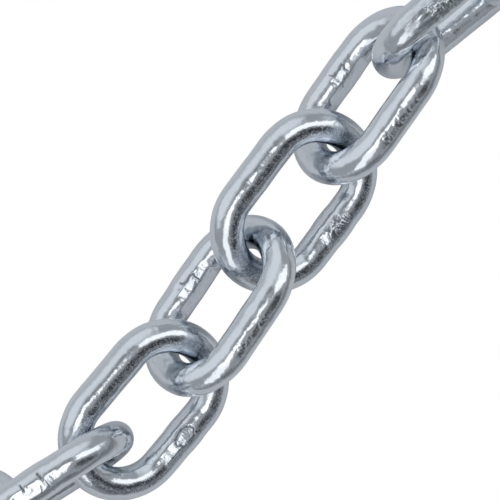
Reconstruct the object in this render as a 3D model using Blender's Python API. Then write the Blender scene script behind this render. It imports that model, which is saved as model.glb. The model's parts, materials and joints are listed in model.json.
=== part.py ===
"""A foot of round-wire steel chain, laid out on the floor, with each welded link its own closed body.

Lengths are in metres. The chain runs along +X, +Z is up, and the floor is z = 0.
"""

import math

import bpy
import numpy as np
from mathutils import Matrix, Vector

COLLECTION = "steel_chain"
MATERIAL = "zinc_plated_steel"

WIRE_DIAMETER = 0.0067
INSIDE_LENGTH = 0.0254
INSIDE_WIDTH = 0.0139

# What is left between one link's crown and the next, so that no two bodies touch.
CROWN_GAP = 0.0003

# How far each link's length is turned from the chain's run, in plan.
HEADINGS_DEG = (2.0, 6.0, -4.0, -22.0, -3.9, 1.3, -1.3, -0.6, -16.0, -8.0, 5.0, 1.0)
# How far each link's flat side leans from lying down, about the link's own length.
LEANS_DEG = (-40.0, 42.0, -33.0, 93.0, 39.2, -37.9, 38.2, -40.3, 85.0, -36.0, 42.0, -38.0)
# How far each link's forward end is lifted. The links beside one that stands on edge are lifted by it.
PITCHES_DEG = (0.0, 0.0, 6.0, 0.0, -3.1, 2.0, 0.0, 5.0, 0.0, -9.0, 0.0, 0.0)

BEVEL_RESOLUTION = 4
CROWN_STEPS = 16
LEG_STEPS = 4

# How closely a link's seat against the one before it is searched for.
FINE_STEPS = 6
LEAST_SLACK = 0.9 * WIRE_DIAMETER
MOST_SLACK = 1.6 * WIRE_DIAMETER
SLACK_STEP = 0.00005
SIDE_STEPS = 61
MOST_SIDE_SHIFT = 0.0045

ZINC_COLOUR = (0.56, 0.60, 0.63, 1.0)
ZINC_ROUGHNESS = 0.28


def clear_scene():
    for obj in list(bpy.data.objects):
        bpy.data.objects.remove(obj, do_unlink=True)


def plated_steel():
    material = bpy.data.materials.new(MATERIAL)
    material.use_nodes = True
    shader = material.node_tree.nodes["Principled BSDF"]
    shader.inputs["Base Color"].default_value = ZINC_COLOUR
    shader.inputs["Metallic"].default_value = 1.0
    shader.inputs["Roughness"].default_value = ZINC_ROUGHNESS
    return material


def link_centreline():
    """The middle of the wire, once round: two half-circle crowns joined by two straight legs."""
    radius = (INSIDE_WIDTH + WIRE_DIAMETER) / 2
    half_leg = (INSIDE_LENGTH - INSIDE_WIDTH) / 2
    points = []
    for side in (1, -1):
        for step in range(CROWN_STEPS + 1):
            turn = math.pi * (step / CROWN_STEPS - 0.5)
            points.append(Vector((half_leg + radius * math.cos(turn), radius * math.sin(turn), 0)) * side)
        for step in range(1, LEG_STEPS):
            along = half_leg * (1 - 2 * step / LEG_STEPS)
            points.append(Vector((along, radius, 0)) * side)
    return points


def link_curve(material):
    """The one bent and welded wire ring that every link repeats."""
    centreline = link_centreline()
    curve = bpy.data.curves.new("link", "CURVE")
    curve.dimensions = "3D"
    curve.bevel_depth = WIRE_DIAMETER / 2
    curve.bevel_resolution = BEVEL_RESOLUTION
    spline = curve.splines.new("POLY")
    spline.points.add(len(centreline) - 1)
    for point, place in zip(spline.points, centreline):
        point.co = (*place, 1)
    spline.use_cyclic_u = True
    spline.use_smooth = True
    curve.materials.append(material)
    return curve


def turned(heading_deg, pitch_deg, lean_deg):
    """A link's own X along its heading, its forward end lifted, leaning about that X."""
    heading = Matrix.Rotation(math.radians(heading_deg), 3, "Z")
    pitch = Matrix.Rotation(math.radians(-pitch_deg), 3, "Y")
    lean = Matrix.Rotation(math.radians(lean_deg), 3, "X")
    return np.array(heading @ pitch @ lean)


def fine_centreline():
    """Points close enough together on the centreline to measure a gap by."""
    coarse = np.array(link_centreline())
    onward = np.roll(coarse, -1, axis=0)
    shares = np.linspace(0, 1, FINE_STEPS, endpoint=False)[:, None, None]
    return (coarse + shares * (onward - coarse)).reshape(-1, 3)


def nearest(points, others):
    """The shortest distance between two sets of points."""
    return np.linalg.norm(points[:, None] - others[None], axis=2).min()


def best_shift(points, others, side):
    """The sideways shift that leaves the most room between two crowns, and that room."""
    shifts = np.linspace(-MOST_SIDE_SHIFT, MOST_SIDE_SHIFT, SIDE_STEPS)
    rooms = [nearest(points + shift * side, others) for shift in shifts]
    index = int(np.argmax(rooms))
    return shifts[index], rooms[index]


def seated(turn, height, before, fine):
    """The middle of a link that is pulled taut against the link before it."""
    before_turn, before_middle = before
    half_length = np.array([(INSIDE_LENGTH + WIRE_DIAMETER) / 2, 0, 0])
    others = fine @ before_turn.T + before_middle
    others = others[fine[:, 0] > 0]
    own_back = fine[fine[:, 0] < 0] @ turn.T
    tip = before_turn @ half_length + before_middle
    reach = turn @ half_length
    run = reach / np.linalg.norm(reach)
    side = np.array([-run[1], run[0], 0])
    slack = LEAST_SLACK
    while slack < MOST_SLACK:
        middle = tip + reach - slack * run
        middle[2] = height
        shift, room = best_shift(own_back + middle, others, side)
        if room >= WIRE_DIAMETER + CROWN_GAP:
            return middle + shift * side
        slack += SLACK_STEP
    raise ValueError("two neighbouring links leave each other no room")


def lay_links():
    """Each link's turn and middle, resting on the floor and taut against the one before."""
    fine = fine_centreline()
    laid = []
    for angles in zip(HEADINGS_DEG, PITCHES_DEG, LEANS_DEG):
        turn = turned(*angles)
        height = WIRE_DIAMETER / 2 - (fine @ turn.T)[:, 2].min()
        if laid:
            middle = seated(turn, height, laid[-1], fine)
        else:
            middle = np.array([0, 0, height])
        laid.append((turn, middle))
    reach = np.concatenate([fine @ turn.T + middle for turn, middle in laid])
    centre = (reach.min(axis=0) + reach.max(axis=0)) / 2
    centre[2] = 0
    return [(turn, middle - centre) for turn, middle in laid]


def main():
    clear_scene()
    collection = bpy.data.collections.new(COLLECTION)
    bpy.context.scene.collection.children.link(collection)
    curve = link_curve(plated_steel())
    for number, (turn, middle) in enumerate(lay_links(), 1):
        link = bpy.data.objects.new(f"link_{number:02d}", curve)
        link.matrix_world = Matrix.Translation(middle) @ Matrix(turn).to_4x4()
        collection.objects.link(link)


main()
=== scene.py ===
"""A foot of bright zinc-plated, welded, round-wire link chain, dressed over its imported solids."""

import json
import logging
import math
from dataclasses import dataclass
from enum import Enum

import bmesh
import bpy
import numpy as np
from mathutils import Matrix, Vector, noise

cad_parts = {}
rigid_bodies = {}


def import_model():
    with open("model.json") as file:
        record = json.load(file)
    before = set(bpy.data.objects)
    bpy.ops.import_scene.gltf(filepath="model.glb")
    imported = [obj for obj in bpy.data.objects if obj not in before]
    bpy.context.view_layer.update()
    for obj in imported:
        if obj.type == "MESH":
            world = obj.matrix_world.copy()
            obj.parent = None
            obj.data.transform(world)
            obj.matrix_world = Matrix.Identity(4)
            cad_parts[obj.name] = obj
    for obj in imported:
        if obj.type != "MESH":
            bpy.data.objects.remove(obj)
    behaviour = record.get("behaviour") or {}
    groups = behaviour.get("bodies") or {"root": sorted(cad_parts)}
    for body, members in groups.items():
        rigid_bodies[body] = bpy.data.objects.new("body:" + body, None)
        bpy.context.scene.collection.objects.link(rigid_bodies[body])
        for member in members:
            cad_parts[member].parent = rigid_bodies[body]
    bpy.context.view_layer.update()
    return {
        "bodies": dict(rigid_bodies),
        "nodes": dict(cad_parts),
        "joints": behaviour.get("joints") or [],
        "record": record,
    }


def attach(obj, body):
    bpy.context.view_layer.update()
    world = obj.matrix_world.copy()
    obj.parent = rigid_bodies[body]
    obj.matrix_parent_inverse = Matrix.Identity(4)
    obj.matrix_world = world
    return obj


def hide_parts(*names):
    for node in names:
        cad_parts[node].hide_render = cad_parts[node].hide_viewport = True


PHOTO_PIXELS = 500
MM = 0.001
WIRE_MM = 6.7

# Points nearer together than this are one point.
SAME_PLACE = 0.001 * MM
SAME_PLACE_DECIMALS = 6

# The Mix nodes give several sockets one name, so they are reached by place.
COLOUR_A, COLOUR_B, COLOUR_OUT = 6, 7, 2
FLOAT_A, FLOAT_B, FLOAT_OUT = 2, 3, 0
SHADER_A, SHADER_B = 1, 2

# What a link's mesh tells the plating and its painted shades about each of its points.
MARKS = ("weld", "crease_and_painted_shade", "heat", "rub_and_painted_shade", "bearing")

# The side that rubs in the barrel, and that gets a painted shade, is 41 degrees from up, towards the camera's
# own side.
RUB_AND_PAINTED_SHADE_SIDE = Vector((0, -0.656, 0.755))

# Cosines between which a mark fades in, towards the side with rub and painted shade or towards the middle of
# the link's eye.
RUB_AND_PAINTED_SHADE_COSINES = (0.91, 0.995)
BEARING_COSINES = (0.4, 0.95)
WORN_COSINES = (-0.2, 0.5)

# Ways from the middle of a leg, in half legs, between which a mark fades in or out.
BEARING_WAYS = (1.0, 1.6)
WORN_WAYS = (1.0, 1.4)
HEATED_WAYS = (0.9, 1.5)

# Shares of its own reach between which a scar or a leg's pitting fades out.
SCAR_ENDS = (0.85, 1.0)

log = logging.getLogger("chain")


def linear(hex_colour: str) -> tuple[float, float, float, float]:
    """Turns an sRGB hex colour to the linear colour that a shader takes.

    Args:
        hex_colour: six hex digits, such as "A0B1C2".

    Returns:
        Red, green, blue and an alpha of 1.
    """
    parts = [int(hex_colour[place:place + 2], 16) / 255 for place in (0, 2, 4)]
    turned = [part / 12.92 if part <= 0.04045 else ((part + 0.055) / 1.055) ** 2.4 for part in parts]
    return (*turned, 1.0)


def smooth_step(low: float, high: float, value: float) -> float:
    """Rises smoothly from 0 at low to 1 at high."""
    share = min(max((value - low) / (high - low), 0.0), 1.0)
    return share * share * (3 - 2 * share)


def per_metre(size_mm: float) -> float:
    """The texture scale that repeats a pattern about every size_mm, on coordinates in metres."""
    return 1 / (size_mm * MM)


def add_node(tree: bpy.types.NodeTree, kind: str, settings: dict[str, object] | None = None,
             **links: bpy.types.NodeSocket) -> bpy.types.Node:
    """Adds one shader node.

    Args:
        tree: the node tree it goes into.
        kind: the node's type name.
        settings: attributes of the node, and values of its sockets by name.
        links: sockets by name, with underscores for spaces, each given an output socket.

    Returns:
        The new node.
    """
    node = tree.nodes.new(kind)
    for name, value in (settings or {}).items():
        if hasattr(node, name):
            setattr(node, name, value)
        else:
            node.inputs[name].default_value = value
    for name, output in links.items():
        tree.links.new(output, node.inputs[name.replace("_", " ")])
    return node


class WeldLeg(Enum):
    """Which of a link's two legs has its weld, by how it lies."""

    LOWER = -1
    UPPER = 1


@dataclass(frozen=True)
class ZincPlatedSteel:
    """Low-carbon steel wire, bent, welded, barrel plated with zinc and dipped in clear blue passivate.

    The tumbling leaves the bright coat pebbled at a quarter of a millimetre and gently dented at a
    few millimetres, so its reflections have broken edges. The clear passivate tints it faintly blue.
    On the side where links rub in the barrel, the coat has matt grains, with a painted shade between them.
    """

    pale: str = "E6EAEE"
    blue: str = "DAE0E7"
    scorched: str = "B8BEC5"
    # The painted shade in creases, grooves and pits.
    painted_crease_shade: str = "4A4F56"
    # The painted shade on the side that faces up and towards the camera's side.
    painted_side_shade: str = "A0A6AE"
    # The darker blue-grey on a crown's inner side, where links bear.
    crown_inside_blue_grey: str = "A3AEB9"
    # How much of that painted shade is left on the grains.
    painted_shade_on_grains: float = 0.25
    # How far that blue-grey goes over a crown's inner side.
    crown_inside_share: float = 0.35
    cloud_mm: float = 7.0
    speck_mm: float = 0.8
    grain_mm: float = 0.36
    # Levels of the noise at which a grain begins and is full. Dull patches have their own.
    grain_levels: tuple[float, float] = (0.48, 0.60)
    dull_patch_mm: float = 2.2
    dull_patch_levels: tuple[float, float] = (0.35, 0.65)
    roughness_low: float = 0.08
    roughness_high: float = 0.15
    # These are added to the coat's own roughness.
    grain_roughness: float = 0.08
    rubbed_grain_roughness: float = 0.16
    heated_roughness: float = 0.24
    seam_roughness: float = 0.4
    dent_mm: float = 3.2
    dent_depth_mm: float = 0.20
    orange_peel_mm: float = 1.1
    orange_peel_depth_mm: float = 0.045
    pebble_mm: float = 0.28
    pebble_depth_mm: float = 0.03
    unrubbed_pebbling: float = 0.2

    def make(self) -> bpy.types.Material:
        """Builds the plating.

        Returns:
            The material.
        """
        material = bpy.data.materials.new("zinc_plated_steel_tumbled")
        material.use_nodes = True
        tree = material.node_tree
        shader = tree.nodes["Principled BSDF"]
        shader.inputs["Metallic"].default_value = 1.0
        place = add_node(tree, "ShaderNodeTexCoord").outputs["Object"]
        weld, crease_and_painted_shade, heat, rub_and_painted_shade, bearing = (
            add_node(tree, "ShaderNodeAttribute", {"attribute_name": name}).outputs["Fac"] for name in MARKS
        )
        grain = self.grain(tree, place)
        painted_shade_and_tint = self.painted_shade_and_tint(tree, self.plated(tree, place), grain, rub_and_painted_shade, bearing)
        tree.links.new(self.scarred(tree, place, painted_shade_and_tint, weld, crease_and_painted_shade), shader.inputs["Base Color"])
        tree.links.new(self.roughness(tree, place, crease_and_painted_shade, heat, grain, rub_and_painted_shade), shader.inputs["Roughness"])
        tree.links.new(self.relief(tree, place, rub_and_painted_shade), shader.inputs["Normal"])
        return material

    def grain(self, tree: bpy.types.NodeTree, place: bpy.types.NodeSocket) -> bpy.types.NodeSocket:
        """The coat's crystal grains. Real ones are finer than a picture shows, so these are drawn coarser.

        Args:
            tree: the material's nodes.
            place: the point on the object, in metres.

        Returns:
            How far the point is in a grain, 0 to 1.
        """
        grain = add_node(tree, "ShaderNodeTexNoise", {"Scale": per_metre(self.grain_mm), "Detail": 2.0},
                         Vector=place)
        begun, full = self.grain_levels
        sharp = add_node(tree, "ShaderNodeMapRange", {"From Min": begun, "From Max": full},
                         Value=grain.outputs["Fac"])
        return sharp.outputs["Result"]

    def plated(self, tree: bpy.types.NodeTree, place: bpy.types.NodeSocket) -> bpy.types.NodeSocket:
        """Pale zinc, clouded with the passivate's blue.

        Args:
            tree: the material's nodes.
            place: the point on the object, in metres.

        Returns:
            The colour.
        """
        cloud = add_node(tree, "ShaderNodeTexNoise", {"Scale": per_metre(self.cloud_mm), "Detail": 3.0},
                         Vector=place)
        plated = add_node(tree, "ShaderNodeMix", {"data_type": "RGBA"}, Factor=cloud.outputs["Fac"])
        plated.inputs[COLOUR_A].default_value = linear(self.pale)
        plated.inputs[COLOUR_B].default_value = linear(self.blue)
        return plated.outputs[COLOUR_OUT]

    def painted_shade_and_tint(self, tree: bpy.types.NodeTree, colour: bpy.types.NodeSocket, grain: bpy.types.NodeSocket,
             rub_and_painted_shade: bpy.types.NodeSocket, bearing: bpy.types.NodeSocket) -> bpy.types.NodeSocket:
        """A painted shade between the grains on the side where links rub in the barrel, and blue-grey where
        they bear.

        Args:
            tree: the material's nodes.
            colour: the coat's colour so far.
            grain: how far the point is in a grain, 0 to 1.
            rub_and_painted_shade: how far the point is on the side with rub and painted shade, 0 to 1.
            bearing: how far the point is on a crown's inner side, 0 to 1.

        Returns:
            The colour.
        """
        # The painted side shade, mostly between the grains.
        between = add_node(tree, "ShaderNodeMapRange", {"To Min": 1.0, "To Max": self.painted_shade_on_grains},
                           Value=grain)
        dark = add_node(tree, "ShaderNodeMath", {"operation": "MULTIPLY"})
        tree.links.new(between.outputs["Result"], dark.inputs[0])
        tree.links.new(rub_and_painted_shade, dark.inputs[1])
        thin = add_node(tree, "ShaderNodeMath", {"operation": "MULTIPLY"})
        tree.links.new(bearing, thin.inputs[0])
        thin.inputs[1].default_value = self.crown_inside_share
        for share, shade in ((dark.outputs["Value"], self.painted_side_shade), (thin.outputs["Value"], self.crown_inside_blue_grey)):
            mixed = add_node(tree, "ShaderNodeMix", {"data_type": "RGBA"}, Factor=share)
            tree.links.new(colour, mixed.inputs[COLOUR_A])
            mixed.inputs[COLOUR_B].default_value = linear(shade)
            colour = mixed.outputs[COLOUR_OUT]
        return colour

    def scarred(self, tree: bpy.types.NodeTree, place: bpy.types.NodeSocket, colour: bpy.types.NodeSocket,
                weld: bpy.types.NodeSocket, crease_and_painted_shade: bpy.types.NodeSocket) -> bpy.types.NodeSocket:
        """Greyer on the weld, and a painted shade in its creases, grooves and pits.

        Args:
            tree: the material's nodes.
            place: the point on the object, in metres.
            colour: the coat's colour so far.
            weld: how far the point is within the weld, 0 to 1.
            crease_and_painted_shade: how dark the painted shade of a crease, groove or pit is at the point, 0
                to 1.

        Returns:
            The colour.
        """
        speck = add_node(tree, "ShaderNodeTexNoise", {"Scale": per_metre(self.speck_mm), "Detail": 4.0},
                         Vector=place)
        burnt = add_node(tree, "ShaderNodeMath", {"operation": "MULTIPLY"})
        tree.links.new(speck.outputs["Fac"], burnt.inputs[0])
        tree.links.new(weld, burnt.inputs[1])
        # A painted shade in the creases, grooves and pits.
        for share, shade in ((burnt.outputs["Value"], self.scorched), (crease_and_painted_shade, self.painted_crease_shade)):
            mixed = add_node(tree, "ShaderNodeMix", {"data_type": "RGBA"}, Factor=share)
            tree.links.new(colour, mixed.inputs[COLOUR_A])
            mixed.inputs[COLOUR_B].default_value = linear(shade)
            colour = mixed.outputs[COLOUR_OUT]
        return colour

    def roughness(self, tree: bpy.types.NodeTree, place: bpy.types.NodeSocket, crease_and_painted_shade: bpy.types.NodeSocket,
                  heat: bpy.types.NodeSocket, grain: bpy.types.NodeSocket,
                  rub_and_painted_shade: bpy.types.NodeSocket) -> bpy.types.NodeSocket:
        """Bright, with duller patches, matt grains where links rubbed, and satin where the welding heat went.

        Args:
            tree: the material's nodes.
            place: the point on the object, in metres.
            crease_and_painted_shade: how dark the painted shade of a crease, groove or pit is at the point, 0
                to 1.
            heat: how far the point was heated by the welding, 0 to 1.
            grain: how far the point is in a grain, 0 to 1.
            rub_and_painted_shade: how far the point is on the side with rub and painted shade, 0 to 1.

        Returns:
            The roughness.
        """
        patch = add_node(tree, "ShaderNodeTexNoise", {"Scale": per_metre(self.dull_patch_mm), "Detail": 3.0},
                         Vector=place)
        begun, full = self.dull_patch_levels
        bright = add_node(tree, "ShaderNodeMapRange", {"From Min": begun, "From Max": full,
                                                       "To Min": self.roughness_low,
                                                       "To Max": self.roughness_high},
                          Value=patch.outputs["Fac"])
        strength = add_node(tree, "ShaderNodeMapRange", {"To Min": self.grain_roughness,
                                                         "To Max": self.rubbed_grain_roughness}, Value=rub_and_painted_shade)
        matt = add_node(tree, "ShaderNodeMath", {"operation": "MULTIPLY"})
        tree.links.new(grain, matt.inputs[0])
        tree.links.new(strength.outputs["Result"], matt.inputs[1])
        total = bright.outputs["Result"]
        for part, share in ((matt.outputs["Value"], 1.0), (heat, self.heated_roughness),
                            (crease_and_painted_shade, self.seam_roughness)):
            added = add_node(tree, "ShaderNodeMath", {"operation": "MULTIPLY_ADD"})
            tree.links.new(part, added.inputs[0])
            added.inputs[1].default_value = share
            tree.links.new(total, added.inputs[2])
            total = added.outputs["Value"]
        return total

    def relief(self, tree: bpy.types.NodeTree, place: bpy.types.NodeSocket,
               rub_and_painted_shade: bpy.types.NodeSocket) -> bpy.types.NodeSocket:
        """Dents, orange peel and pebbles, one over the other, the pebbles coarsest where the links rubbed.

        Args:
            tree: the material's nodes.
            place: the point on the object, in metres.
            rub_and_painted_shade: how far the point is on the side with rub and painted shade, 0 to 1.

        Returns:
            The bent normal.
        """
        dents = add_node(tree, "ShaderNodeTexNoise", {"Scale": per_metre(self.dent_mm), "Detail": 1.0},
                         Vector=place)
        dented = add_node(tree, "ShaderNodeBump", {"Strength": 1.0, "Distance": self.dent_depth_mm * MM},
                          Height=dents.outputs["Fac"])
        peel = add_node(tree, "ShaderNodeTexNoise", {"Scale": per_metre(self.orange_peel_mm), "Detail": 3.0},
                        Vector=place)
        peeled = add_node(tree, "ShaderNodeBump",
                          {"Strength": 1.0, "Distance": self.orange_peel_depth_mm * MM},
                          Height=peel.outputs["Fac"], Normal=dented.outputs["Normal"])
        pebble = add_node(tree, "ShaderNodeTexNoise", {"Scale": per_metre(self.pebble_mm), "Detail": 1.0},
                          Vector=place)
        strength = add_node(tree, "ShaderNodeMapRange", {"To Min": self.unrubbed_pebbling, "To Max": 1.0},
                            Value=rub_and_painted_shade)
        pebbled = add_node(tree, "ShaderNodeBump", {"Distance": self.pebble_depth_mm * MM},
                           Strength=strength.outputs["Result"], Height=pebble.outputs["Fac"],
                           Normal=peeled.outputs["Normal"])
        return pebbled.outputs["Normal"]


def angle_between(turn: float, other: float) -> float:
    """The signed angle from other to turn, within half a turn either way."""
    return math.remainder(turn - other, math.tau)


def about_mm(side: float) -> float:
    """The arc that an angle about the wire spans on its surface, in millimetres."""
    return WIRE_MM / 2 * side


@dataclass(frozen=True)
class Flat:
    """A stretch that the press's jaw left flat. It may run on over metal squeezed out past its lower edge."""

    from_mm: float
    to_mm: float
    side_deg: float
    half_deg: float
    ledge_deg: float = 0.0
    soft_end_mm: float = 0.5
    soft_side_deg: float = 8.0

    def lift(self, along: float, side: float) -> float:
        """How far the flat lies over the round wire: less than none, but for its ledge.

        Args:
            along: millimetres along the leg, towards the chain's far end.
            side: angle about the wire from the side that lies up, towards the camera's side.

        Returns:
            The lift in millimetres.
        """
        turn = angle_between(side, math.radians(self.side_deg))
        half, reach = math.radians(self.half_deg), math.radians(self.half_deg + self.ledge_deg)
        gone = reach + math.radians(self.soft_side_deg)
        if not -half <= turn <= gone:
            return 0.0
        flat = math.cos(half) / math.cos(min(turn, reach)) - 1
        fall = 1 - smooth_step(reach, gone, turn)
        start = smooth_step(self.from_mm - self.soft_end_mm, self.from_mm + self.soft_end_mm, along)
        end = 1 - smooth_step(self.to_mm - self.soft_end_mm, self.to_mm + self.soft_end_mm, along)
        return WIRE_MM / 2 * flat * fall * start * end


@dataclass(frozen=True)
class Crack:
    """A fine open line in the weld, where the hot metal folded over, with a painted shade along it.

    Its points are millimetres along the leg and degrees about the wire.
    """

    points: tuple[tuple[float, float], ...]
    width_mm: float = 0.15
    depth_mm: float = 0.10
    # How dark its painted shade is.
    darkness: float = 0.9
    reach_mm: float = 3.0
    ragged_mm: tuple[float, float] = (0.16, -0.10)
    ragged_per_mm: float = 3.5

    def shape(self, along: float, side: float, seed: Vector) -> tuple[float, float]:
        """How far the crack lowers the surface, and how dark its painted shade is there.

        Args:
            along: millimetres along the leg, towards the chain's far end.
            side: angle about the wire from the side that lies up, towards the camera's side.
            seed: where this link's own noise starts.

        Returns:
            The lift in millimetres, none or less, and the darkness, 0 to 1.
        """
        here = Vector((along, about_mm(side)))
        places = [Vector((place, about_mm(math.radians(turn)))) for place, turn in self.points]
        if min((place - here).length for place in places) > self.reach_mm:
            return 0.0, 0.0
        ragged = noise.noise(Vector((*(self.ragged_per_mm * here), self.points[0][0])) + seed)
        here += Vector([most * ragged for most in self.ragged_mm])
        gaps = []
        for start, end in zip(places, places[1:]):
            run = end - start
            share = min(max((here - start).dot(run) / run.length_squared, 0.0), 1.0)
            gaps.append((here - start - share * run).length)
        crease_and_painted_shade = math.exp(-((min(gaps) / self.width_mm) ** 2))
        return -self.depth_mm * crease_and_painted_shade, self.darkness * crease_and_painted_shade


@dataclass(frozen=True)
class Nugget:
    """A low oval button of pressed-out metal, with a groove round its foot.

    Everything after its darkness is a share of its half length and half width.
    """

    along_mm: float
    side_deg: float
    half_length_mm: float
    half_width_mm: float
    height_mm: float = 0.16
    groove_mm: float = 0.14
    # How dark the groove's painted shade is.
    darkness: float = 0.7
    top_end: float = 0.7
    groove_at: float = 1.05
    groove_width: float = 0.10
    unevenness: float = 0.22
    gone: float = 1.8

    def shape(self, along: float, side: float, seed: Vector) -> tuple[float, float]:
        """How far the button and its groove move the surface, and how dark the groove's painted shade is
        there.

        Args:
            along: millimetres along the leg, towards the chain's far end.
            side: angle about the wire from the side that lies up, towards the camera's side.
            seed: where this link's own noise starts.

        Returns:
            The lift in millimetres, and the darkness, 0 to 1.
        """
        over = about_mm(angle_between(side, math.radians(self.side_deg))) / self.half_width_mm
        ring = Vector(((along - self.along_mm) / self.half_length_mm, over, 0))
        if ring.length > self.gone:
            return 0.0, 0.0
        reach = ring.length + self.unevenness * noise.noise(2.2 * ring.normalized() + seed)
        button = self.height_mm * (1 - smooth_step(self.top_end, 1.0, reach))
        crease_and_painted_shade = math.exp(-(((reach - self.groove_at) / self.groove_width) ** 2))
        return button - self.groove_mm * crease_and_painted_shade, self.darkness * crease_and_painted_shade


@dataclass(frozen=True)
class WeldScar:
    """A butt weld, upset by the press and tumbled: a slight swelling with flats, a rough patch and marks."""

    middle_mm: float = 0.5
    half_length_mm: float = 2.8
    rough_side_deg: float = 15.0
    rough_half_deg: float = 30.0
    swelling_mm: float = 0.10
    lumps_mm: float = 0.06
    lump_size_mm: float = 1.0
    # The painted shade in the hollows between the rough patch's lumps, and the levels of the noise between
    # which it fades in.
    pit_painted_shade: float = 0.0
    pit_painted_shade_levels: tuple[float, float] = (-0.12, 0.18)
    least_rough: float = 0.01
    dullness: float = 0.3
    # How far the scar may go along the leg, in half legs.
    reach: float = 1.0
    flats: tuple[Flat, ...] = ()
    cracks: tuple[Crack, ...] = ()
    nuggets: tuple[Nugget, ...] = ()

    def within(self, along: float) -> float:
        """How far a point is within the weld's length, 1 at its middle and 0 away from it."""
        return math.exp(-(((along - self.middle_mm) / self.half_length_mm) ** 4))

    def rough(self, along: float, side: float) -> float:
        """How far a point is within the weld's rough patch, 0 to 1."""
        turn = angle_between(side, math.radians(self.rough_side_deg)) / math.radians(self.rough_half_deg)
        return self.within(along) * math.exp(-(turn ** 4))

    def shape(self, along: float, side: float, seed: Vector) -> tuple[float, float]:
        """How far the weld lifts the wire's surface, and how dark the painted shade of its marks is there.

        Args:
            along: millimetres along the leg, towards the chain's far end.
            side: angle about the wire from the side that lies up, towards the camera's side.
            seed: where this link's own noise starts.

        Returns:
            The lift in millimetres, and the darkness, 0 to 1.
        """
        lift = self.swelling_mm * self.within(along)
        lift += max((flat.lift(along, side) for flat in self.flats), key=abs, default=0.0)
        rough = self.rough(along, side)
        marks = [mark.shape(along, side, seed) for mark in self.cracks + self.nuggets]
        if rough > self.least_rough:
            place = Vector((along, WIRE_MM / 2 * math.cos(side), WIRE_MM / 2 * math.sin(side)))
            ring = place / self.lump_size_mm
            finer = 0.5 * noise.noise(2.2 * ring + 3 * seed)
            lumps = noise.noise(ring + seed) + finer
            # The hollows between the lumps get a painted shade.
            pit_painted_shade_here = self.pit_painted_shade * rough * smooth_step(*self.pit_painted_shade_levels, -lumps)
            marks.append((self.lumps_mm * rough * lumps, pit_painted_shade_here))
        return lift + sum(mark[0] for mark in marks), max((mark[1] for mark in marks), default=0.0)


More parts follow.
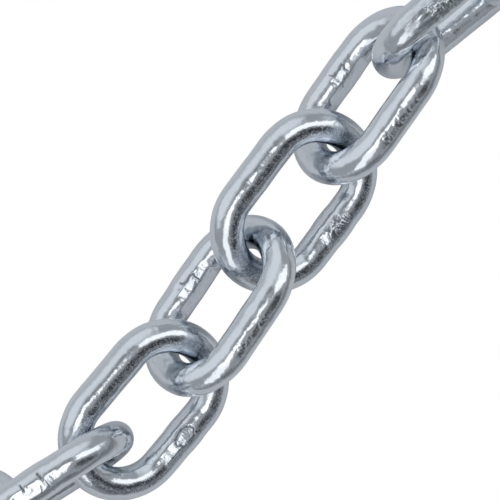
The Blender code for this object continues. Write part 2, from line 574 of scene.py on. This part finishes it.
class ScarStyle(Enum):
    """The ways that the press and the barrel leave a weld."""

    BUTTONED = WeldScar(
        lumps_mm=0.02, lump_size_mm=0.7, middle_mm=1.4, half_length_mm=1.9, rough_side_deg=20.0, pit_painted_shade=0.2,
        flats=(Flat(-8.0, -1.2, 10.0, 12.0, 10.0), Flat(-0.5, 2.8, 12.0, 12.0, 13.0)),
        nuggets=(Nugget(1.0, 18.0, 2.2, 1.35, 0.02, 0.10, 0.9),),
        cracks=(
            Crack(((-0.7, -3.0), (1.6, -9.0), (3.0, -2.0)), 0.22, 0.10, 0.9),
            Crack(((3.4, 8.0), (4.0, 46.0)), 0.13, 0.08, 0.6),
        ),
    )
    ZIGZAG = WeldScar(
        lumps_mm=0.02, dullness=0.7,
        flats=(Flat(-3.2, 5.2, 12.5, 16.0), Flat(-7.0, 7.0, 56.0, 28.0)),
        cracks=(
            Crack(((-0.8, -22.0), (-0.5, -9.0)), 0.22),
            Crack(((-0.5, -9.0), (0.3, -6.0), (1.4, -8.0), (2.4, -3.0), (1.9, 4.0), (1.9, 28.0)), 0.17),
            Crack(((-1.0, 1.0), (-1.1, 15.0), (-0.7, 33.0), (1.2, 22.0)), 0.12, 0.06, 0.45),
            Crack(((-2.1, -15.0), (-1.9, -11.0)), 0.16, 0.06, 0.6),
        ),
    )
    GRAINY = WeldScar(
        lumps_mm=0.20, lump_size_mm=0.55, middle_mm=0.8, half_length_mm=2.3, rough_side_deg=20.0,
        rough_half_deg=26.0, swelling_mm=0.16, pit_painted_shade=0.95,
        flats=(Flat(-2.8, -1.8, 10.0, 12.0, 10.0, 0.3),),
        cracks=(
            Crack(((3.1, 14.0), (3.2, 40.0)), 0.16, 0.16),
            Crack(((3.65, 18.0), (3.75, 42.0)), 0.15, 0.16),
            Crack(((4.2, 20.0), (4.2, 36.0)), 0.13, 0.12, 0.6),
        ),
    )
    PINCHED = WeldScar(
        lumps_mm=0.02, dullness=0.7,
        flats=(Flat(-2.2, 2.4, 12.0, 16.0), Flat(3.2, 5.4, 14.0, 10.0), Flat(-7.0, 7.0, 56.0, 28.0)),
        cracks=(
            Crack(((-1.2, -20.0), (-0.95, -5.0), (0.8, -4.0), (1.8, -7.0), (2.2, -2.0), (1.5, 10.0),
                   (1.7, 25.0)), 0.15),
            Crack(((-0.95, -5.0), (-1.1, 8.0), (-1.0, 25.0), (-1.4, 42.0)), 0.15, 0.08, 0.5),
            Crack(((-0.9, 33.0), (0.3, 25.0), (0.8, 29.0), (1.7, 24.0)), 0.12, 0.06, 0.4),
            Crack(((4.0, -3.0), (4.4, -5.0)), 0.14, 0.05, 0.6),
        ),
    )
    STRUCK = WeldScar(
        lumps_mm=0.02,
        flats=(Flat(-7.0, 1.4, 14.0, 16.0, 8.0), Flat(2.2, 4.4, 15.0, 14.0)),
        nuggets=(Nugget(-2.1, 13.0, 0.85, 0.75, 0.02, 0.04, 0.25),),
        cracks=(
            Crack(((-2.8, -19.0), (-2.75, 5.0)), 0.20, 0.12, 1.0),
            Crack(((-2.5, -9.0), (-1.8, -3.0)), 0.12, 0.06, 0.6),
            Crack(((1.15, -20.0), (1.3, -1.0)), 0.32, 0.16, 0.8),
            Crack(((1.4, 0.0), (1.9, 12.0), (2.0, 34.0), (2.2, 58.0)), 0.13, 0.06, 0.5),
            Crack(((0.1, 41.0), (0.6, 22.0)), 0.12, 0.06, 0.5),
            Crack(((3.0, 12.0), (3.3, 22.0)), 0.16, 0.06, 0.5),
        ),
    )
    LUMPY = WeldScar(
        lumps_mm=0.18, lump_size_mm=0.8, middle_mm=-4.5, half_length_mm=6.5, rough_side_deg=28.0,
        rough_half_deg=40.0, swelling_mm=0.12, pit_painted_shade=0.45, reach=1.9,
        cracks=(
            Crack(((-6.6, 25.0), (-4.8, 25.0)), 0.2, 0.12, 0.7),
            Crack(((-2.9, 22.0), (-2.2, 22.0)), 0.2, 0.12, 0.7),
        ),
    )


@dataclass(frozen=True)
class Pitting:
    """Small pits and lumps along the leg without a weld, on the side that rubbed in the barrel."""

    depth_mm: float = 0.10
    size_mm: float = 0.62
    side_deg: float = 33.0
    half_deg: float = 22.0
    gone: float = 1.6
    # The pits come in patches, this much coarser and between these levels of the noise.
    patch_scale: float = 0.3
    patch_levels: tuple[float, float] = (-0.25, 0.25)

    def lift(self, place: Vector, side: float, seed: Vector) -> float:
        """How far the pits move the surface.

        Args:
            place: the point in the link's own frame, in millimetres.
            side: angle about the wire from the side that lies up, towards the camera's side.
            seed: where this link's own noise starts.

        Returns:
            The lift in millimetres.
        """
        turn = angle_between(side, math.radians(self.side_deg)) / math.radians(self.half_deg)
        if abs(turn) > self.gone:
            return 0.0
        ring = place / self.size_mm
        patchy = smooth_step(*self.patch_levels, noise.noise(self.patch_scale * ring + seed))
        finer = 0.8 * noise.noise(1.9 * ring + 2 * seed)
        rough = patchy * (noise.noise(ring + seed) + finer)
        return self.depth_mm * math.exp(-(turn ** 4)) * rough


@dataclass
class ChainLink:
    """One link: round wire bent to an oblong ring and closed by a weld in the middle of one leg."""

    node: str
    weld_leg: WeldLeg
    scar: WeldScar
    pitting: Pitting
    # How strong the rub and the painted side shade are on this link.
    rub_and_painted_shade_strength: float
    number: int
    wire: float = WIRE_MM * MM
    inside_length: float = 25.4 * MM
    inside_width: float = 13.9 * MM
    wear_mm: float = 0.14
    uneven_mm: float = 0.07
    uneven_size: float = 4.5 * MM
    # How much of the rub and the painted side shade the weld's heat hides.
    heat_hides: float = 1.2
    sides: int = 96
    crown_steps: int = 44
    welded_leg_steps: int = 110
    plain_leg_steps: int = 60

    @property
    def radius(self) -> float:
        """How far from its middle a crown's wire runs, in metres."""
        return (self.inside_width + self.wire) / 2

    @property
    def half_leg(self) -> float:
        """Half the length of a leg's straight wire, in metres."""
        return (self.inside_length - self.inside_width) / 2

    def placing(self, solid: bpy.types.Object) -> Matrix:
        """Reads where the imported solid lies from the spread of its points.

        Args:
            solid: the link's CAD object, which stays as it is.

        Returns:
            The link's own frame: X along it, Y across it towards its upper leg, Z square to both.
        """
        points = np.array([vertex.co[:] for vertex in solid.data.vertices])
        points = np.unique(np.round(points, SAME_PLACE_DECIMALS), axis=0)
        middle = points.mean(axis=0)
        _, axes = np.linalg.eigh(np.cov((points - middle).T))
        along, across = Vector(axes[:, 2]), Vector(axes[:, 1])
        along *= 1 if along.x > 0 else -1
        across *= 1 if across.z > 0 else -1
        square = along.cross(across)
        turn = Matrix((along, across, square)).transposed().to_4x4()
        return Matrix.Translation(middle) @ turn

    def bend(self) -> bmesh.types.BMesh:
        """Sweeps the wire's round section once about the ring.

        Returns:
            The smooth ring in the link's own frame.
        """
        shape = bmesh.new()
        start = Matrix.Translation((self.half_leg, -self.radius, 0)) @ Matrix.Rotation(math.pi / 2, 4, "Y")
        bmesh.ops.create_circle(shape, cap_ends=False, segments=self.sides, radius=self.wire / 2,
                                matrix=start)
        section = shape.verts[:] + shape.edges[:]
        for side, steps in ((1, self.welded_leg_steps), (-1, self.plain_leg_steps)):
            crown = bmesh.ops.spin(shape, geom=section, cent=(side * self.half_leg, 0, 0), axis=(0, 0, 1),
                                   dvec=(0, 0, 0), angle=math.pi, steps=self.crown_steps,
                                   use_duplicate=False)
            leg = bmesh.ops.spin(shape, geom=crown["geom_last"], cent=(0, 0, 0), axis=(0, 0, 1),
                                 dvec=(-side * 2 * self.half_leg / steps, 0, 0), angle=0, steps=steps,
                                 use_duplicate=False)
            section = leg["geom_last"]
        bmesh.ops.remove_doubles(shape, verts=shape.verts[:], dist=SAME_PLACE)
        bmesh.ops.recalc_face_normals(shape, faces=shape.faces[:])
        return shape

    def weather(self, shape: bmesh.types.BMesh, upward: Vector, outward: Vector) -> None:
        """Moves the surface by its scar, pits, wear and slight unevenness, and marks it for the plating and
        its painted shades.

        Args:
            shape: the smooth ring, changed in place.
            upward: straight up, in the ring's own frame.
            outward: towards the side that rubs in the barrel and gets a painted shade, in the ring's own
                frame.
        """
        # The seed sets each link in a place of its own in the noise.
        seed = Vector((17.3 * self.number, 5.1 * self.number, 2.7))
        weld, crease_and_painted_shade, heat, rub_and_painted_shade, bearing = (shape.verts.layers.float.new(name) for name in MARKS)
        shape.normal_update()
        half_leg, radius = self.half_leg, self.radius
        top = math.atan2(upward.z, upward.y)
        sense = self.weld_leg.value
        moves = []
        for point in shape.verts:
            lift = self.uneven_mm * noise.noise(point.co / self.uneven_size + seed)
            beyond = abs(point.co.x) / half_leg
            # The side facing up and towards the camera's side gets a painted shade, as well as its rub.
            point[rub_and_painted_shade] = self.rub_and_painted_shade_strength * smooth_step(*RUB_AND_PAINTED_SHADE_COSINES, point.normal.dot(outward))
            if beyond > 1:
                bend = point.co - Vector((math.copysign(half_leg, point.co.x), 0, 0))
                inward = -point.normal.dot(bend.normalized())
                point[bearing] = smooth_step(*BEARING_COSINES, inward) * smooth_step(*BEARING_WAYS, beyond)
                lift -= self.wear_mm * smooth_step(*WORN_COSINES, inward) * smooth_step(*WORN_WAYS, beyond)
            # A leg's length and the angle about its wire go on round the crowns.
            welded = point.co.y > 0
            past = max(abs(point.co.x) - half_leg, 0.0)
            run = min(abs(point.co.x), half_leg) + radius * math.atan2(past, abs(point.co.y))
            along = sense * math.copysign(run, point.co.x) / MM
            out = math.hypot(past, point.co.y) - radius
            side = sense * (math.atan2(point.co.z, out if welded else -out) - top)
            if welded:
                point[heat] = self.scar.dullness * (1 - smooth_step(*HEATED_WAYS, beyond))
                point[rub_and_painted_shade] *= 1 - self.heat_hides * point[heat]
            reach = self.scar.reach if welded else 1.0
            if run < half_leg * reach:
                fade = 1 - smooth_step(*SCAR_ENDS, run / (half_leg * reach))
                if welded:
                    raised, painted_shade_here = self.scar.shape(along, side, seed)
                    lift += fade * raised
                    # How dark the painted shade of the scar's creases, grooves and pits is here.
                    point[crease_and_painted_shade] = fade * painted_shade_here
                    point[weld] = fade * self.scar.rough(along, side)
                else:
                    lift += fade * self.pitting.lift(point.co / MM, side, seed)
            moves.append(point.normal * lift * MM)
        for point, move in zip(shape.verts, moves):
            point.co += move

    def build(self, frame: dict, finish: bpy.types.Material) -> None:
        """Makes the link where its solid lies, and lets it stand for that solid.

        Args:
            frame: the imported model's frame.
            finish: the plating.
        """
        shape = self.bend()
        half_turn = Matrix.Rotation(0 if self.weld_leg is WeldLeg.UPPER else math.pi, 4, "Z")
        placing = self.placing(frame["nodes"][self.node]) @ half_turn
        own_frame = placing.to_3x3().transposed()
        self.weather(shape, own_frame @ Vector((0, 0, 1)), own_frame @ RUB_AND_PAINTED_SHADE_SIDE)
        bmesh.ops.transform(shape, matrix=placing, verts=shape.verts[:])
        for face in shape.faces:
            face.smooth = True
        mesh = bpy.data.meshes.new(f"welded_{self.node}")
        shape.to_mesh(mesh)
        shape.free()
        mesh.materials.append(finish)
        link = bpy.data.objects.new(f"welded_{self.node}", mesh)
        bpy.context.scene.collection.objects.link(link)
        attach(link, self.node)
        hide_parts(self.node)
        log.info("%s: %d faces, weld on its %s leg", link.name, len(mesh.polygons),
                 self.weld_leg.name.lower())


@dataclass
class Chain:
    """The run of links, each through the next."""

    upper_welds: tuple[int, ...] = (1, 4, 9, 12)
    pitted: tuple[int, ...] = (2, 6, 8, 11)
    deep_pitting: Pitting = Pitting()
    faint_pitting: Pitting = Pitting(depth_mm=0.02, size_mm=0.7)
    # These links get the painted side shade and the rub in full, the others only lightly.
    strong_rub_and_painted_shade_links: tuple[int, ...] = (3, 5, 7, 10)
    strong_rub_and_painted_shade: float = 1.0
    light_rub_and_painted_shade: float = 0.2
    scars: tuple[ScarStyle, ...] = (
        ScarStyle.PINCHED, ScarStyle.GRAINY, ScarStyle.BUTTONED, ScarStyle.STRUCK, ScarStyle.BUTTONED,
        ScarStyle.ZIGZAG, ScarStyle.GRAINY, ScarStyle.PINCHED, ScarStyle.LUMPY, ScarStyle.STRUCK,
        ScarStyle.ZIGZAG, ScarStyle.LUMPY,
    )

    def build(self, frame: dict, finish: bpy.types.Material) -> None:
        """Makes every link.

        Args:
            frame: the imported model's frame.
            finish: the plating that all links share.
        """
        for number, style in enumerate(self.scars, 1):
            leg = WeldLeg.UPPER if number in self.upper_welds else WeldLeg.LOWER
            pitting = self.deep_pitting if number in self.pitted else self.faint_pitting
            rub_and_painted_shade_strength = self.strong_rub_and_painted_shade if number in self.strong_rub_and_painted_shade_links else self.light_rub_and_painted_shade
            link = ChainLink(f"link_{number:02d}", leg, style.value, pitting, rub_and_painted_shade_strength, number)
            link.build(frame, finish)


@dataclass(frozen=True)
class RoomPatch:
    """A soft-edged part of the studio's walls, as the wire mirrors it.

    It is full up to one angle from its middle, and gone past the other.
    """

    azimuth_deg: float
    zenith_deg: float
    full_deg: float
    gone_deg: float
    radiance: float


@dataclass(frozen=True)
class Softbox:
    """A soft area light, by the direction that it shines from and how large it looks from the chain."""

    name: str
    azimuth_deg: float
    zenith_deg: float
    half_width_deg: float
    half_height_deg: float
    radiance: float
    roll_deg: float = 0.0


@dataclass(frozen=True)
class Viewpoint:
    """Where the photograph was taken from, as the places of its links in the frame tell."""

    target_mm: tuple[float, float, float] = (-0.393, -0.627, 10.018)
    toward: tuple[float, float, float] = (-0.02767, -0.16032, 0.98668)
    right: tuple[float, float, float] = (0.58019, -0.80636, -0.11475)
    distance: float = 0.700
    focal_pixels: float = 3627.3
    sensor_width_mm: float = 36.0
    clip_start: float = 0.01


def sky_direction(azimuth_deg: float, zenith_deg: float) -> Vector:
    """The unit vector at an azimuth from +X towards +Y and an angle from straight up."""
    azimuth, zenith = math.radians(azimuth_deg), math.radians(zenith_deg)
    level = math.sin(zenith)
    return Vector((level * math.cos(azimuth), level * math.sin(azimuth), math.cos(zenith)))


@dataclass
class Studio:
    """A white table in a room with one pale side and three softboxes, and the camera looking down on it.

    The chain runs along X. The pale wall is on its +Y side, and the camera's own side, -Y, is dark.
    The camera sees table and room blown out to white. The wire mirrors the room as it is lit, and the table
    with a painted shade towards -Y.
    """

    view: Viewpoint = Viewpoint()
    blown_out: str = "FFFFFF"
    table_size: float = 6.0
    table_white: str = "EAEBEC"
    # The paper's painted shade towards -Y, and where it starts and ends.
    table_shaded: str = "969798"
    shade_start: float = -0.020
    shade_end: float = -0.090
    room_tint: str = "F5FAFF"
    room_grey: float = 0.38
    light_distance: float = 1.2
    patches: tuple[RoomPatch, ...] = (
        RoomPatch(-83.0, 52.0, 3.0, 17.0, 0.09),
        RoomPatch(-81.0, 69.0, 4.0, 17.0, 0.08),
        RoomPatch(-120.0, 84.0, 5.0, 15.0, 0.19),
        RoomPatch(72.0, 68.0, 34.0, 52.0, 0.56),
        RoomPatch(8.0, 33.0, 8.0, 20.0, 0.64),
        RoomPatch(48.0, 50.0, 18.0, 32.0, 0.84),
        RoomPatch(112.0, 50.0, 20.0, 36.0, 0.84),
        RoomPatch(50.0, 9.0, 4.0, 12.0, 0.27),
    )
    softboxes: tuple[Softbox, ...] = (
        Softbox("left_softbox", -149.0, 48.0, 16.0, 29.0, 0.78),
        Softbox("right_softbox", -37.0, 47.0, 14.0, 26.0, 0.90),
        Softbox("top_softbox", -142.0, 13.6, 12.5, 9.5, 1.15, 52.0),
    )

    def table(self) -> None:
        """Lays the table: white to the camera, and to the wire paper with a painted shade towards -Y."""
        material = bpy.data.materials.new("white_paper_sweep")
        material.use_nodes = True
        tree = material.node_tree
        tree.nodes.clear()
        seen = add_node(tree, "ShaderNodeLightPath").outputs["Is Camera Ray"]
        place = add_node(tree, "ShaderNodeTexCoord").outputs["Object"]
        across = add_node(tree, "ShaderNodeSeparateXYZ", Vector=place).outputs["Y"]
        share = add_node(tree, "ShaderNodeMapRange", {"interpolation_type": "SMOOTHSTEP",
                                                      "From Min": self.shade_end,
                                                      "From Max": self.shade_start},
                         Value=across)
        shaded = add_node(tree, "ShaderNodeMix", {"data_type": "RGBA"}, Factor=share.outputs["Result"])
        shaded.inputs[COLOUR_A].default_value = linear(self.table_shaded)
        shaded.inputs[COLOUR_B].default_value = linear(self.table_white)
        paper = add_node(tree, "ShaderNodeBsdfDiffuse", Color=shaded.outputs[COLOUR_OUT])
        blown = add_node(tree, "ShaderNodeEmission", {"Color": linear(self.blown_out), "Strength": 1.0})
        both = add_node(tree, "ShaderNodeMixShader", Fac=seen)
        tree.links.new(paper.outputs["BSDF"], both.inputs[SHADER_A])
        tree.links.new(blown.outputs["Emission"], both.inputs[SHADER_B])
        add_node(tree, "ShaderNodeOutputMaterial", Surface=both.outputs["Shader"])
        shape = bmesh.new()
        bmesh.ops.create_grid(shape, x_segments=1, y_segments=1, size=self.table_size / 2)
        mesh = bpy.data.meshes.new("table_top")
        shape.to_mesh(mesh)
        shape.free()
        mesh.materials.append(material)
        top = bpy.data.objects.new("table_top", mesh)
        bpy.context.scene.collection.objects.link(top)

    def room(self) -> None:
        """Surrounds the chain with the room: white to the camera, and to the wire its own greys."""
        world = bpy.data.worlds.new("studio_room")
        world.use_nodes = True
        tree = world.node_tree
        tree.nodes.clear()
        seen = add_node(tree, "ShaderNodeLightPath").outputs["Is Camera Ray"]
        direction = add_node(tree, "ShaderNodeTexCoord").outputs["Generated"]
        level = add_node(tree, "ShaderNodeValue").outputs["Value"]
        level.default_value = self.room_grey
        for patch in self.patches:
            nearness = add_node(tree, "ShaderNodeVectorMath", {"operation": "DOT_PRODUCT"})
            tree.links.new(direction, nearness.inputs[0])
            nearness.inputs[1].default_value = sky_direction(patch.azimuth_deg, patch.zenith_deg)
            share = add_node(tree, "ShaderNodeMapRange", {"interpolation_type": "SMOOTHSTEP",
                                                          "From Min": math.cos(math.radians(patch.gone_deg)),
                                                          "From Max": math.cos(math.radians(patch.full_deg))},
                             Value=nearness.outputs["Value"])
            mixed = add_node(tree, "ShaderNodeMix", {"data_type": "FLOAT"}, Factor=share.outputs["Result"])
            tree.links.new(level, mixed.inputs[FLOAT_A])
            mixed.inputs[FLOAT_B].default_value = patch.radiance
            level = mixed.outputs[FLOAT_OUT]
        walls = add_node(tree, "ShaderNodeBackground", {"Color": linear(self.room_tint)}, Strength=level)
        white = add_node(tree, "ShaderNodeBackground", {"Color": linear(self.blown_out), "Strength": 1.0})
        both = add_node(tree, "ShaderNodeMixShader", Fac=seen)
        tree.links.new(walls.outputs["Background"], both.inputs[SHADER_A])
        tree.links.new(white.outputs["Background"], both.inputs[SHADER_B])
        add_node(tree, "ShaderNodeOutputWorld", Surface=both.outputs["Shader"])
        bpy.context.scene.world = world

    def hang(self, softbox: Softbox) -> None:
        """Hangs one softbox, aimed at the chain and left out of the camera's view.

        Args:
            softbox: where it hangs and how large it looks.
        """
        light = bpy.data.lights.new(softbox.name, "AREA")
        light.shape = "RECTANGLE"
        light.size = 2 * self.light_distance * math.tan(math.radians(softbox.half_width_deg))
        light.size_y = 2 * self.light_distance * math.tan(math.radians(softbox.half_height_deg))
        light.energy = softbox.radiance * math.pi * light.size * light.size_y
        outward = sky_direction(softbox.azimuth_deg, softbox.zenith_deg)
        level = Vector((-outward.y, outward.x, 0)).normalized()
        box = bpy.data.objects.new(softbox.name, light)
        turn = Matrix((level, outward.cross(level), outward)).transposed().to_4x4()
        roll = Matrix.Rotation(math.radians(softbox.roll_deg), 4, "Z")
        box.matrix_world = Matrix.Translation(outward * self.light_distance) @ turn @ roll
        box.visible_camera = False
        bpy.context.scene.collection.objects.link(box)

    def camera(self) -> None:
        """Sets the camera at the photograph's angle, from far enough away for a long lens."""
        target = Vector(self.view.target_mm) * MM
        toward = Vector(self.view.toward).normalized()
        right = Vector(self.view.right)
        right = (right - toward * right.dot(toward)).normalized()
        up = toward.cross(right)
        lens = bpy.data.cameras.new("camera")
        lens.sensor_width = self.view.sensor_width_mm
        lens.lens = self.view.focal_pixels / PHOTO_PIXELS * lens.sensor_width
        lens.clip_start = self.view.clip_start
        camera = bpy.data.objects.new("camera", lens)
        turn = Matrix((right, up, toward)).transposed().to_4x4()
        camera.matrix_world = Matrix.Translation(target + toward * self.view.distance) @ turn
        bpy.context.scene.collection.objects.link(camera)
        bpy.context.scene.camera = camera

    def build(self) -> None:
        """Sets the table, the light and the camera."""
        self.table()
        self.room()
        for softbox in self.softboxes:
            self.hang(softbox)
        self.camera()


def main() -> None:
    """Builds the chain and its studio."""
    logging.basicConfig(level=logging.INFO, format="%(name)s: %(message)s")
    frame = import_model()
    bpy.context.scene.view_settings.view_transform = "Standard"
    Chain().build(frame, ZincPlatedSteel().make())
    Studio().build()


if __name__ == "__main__":
    main()
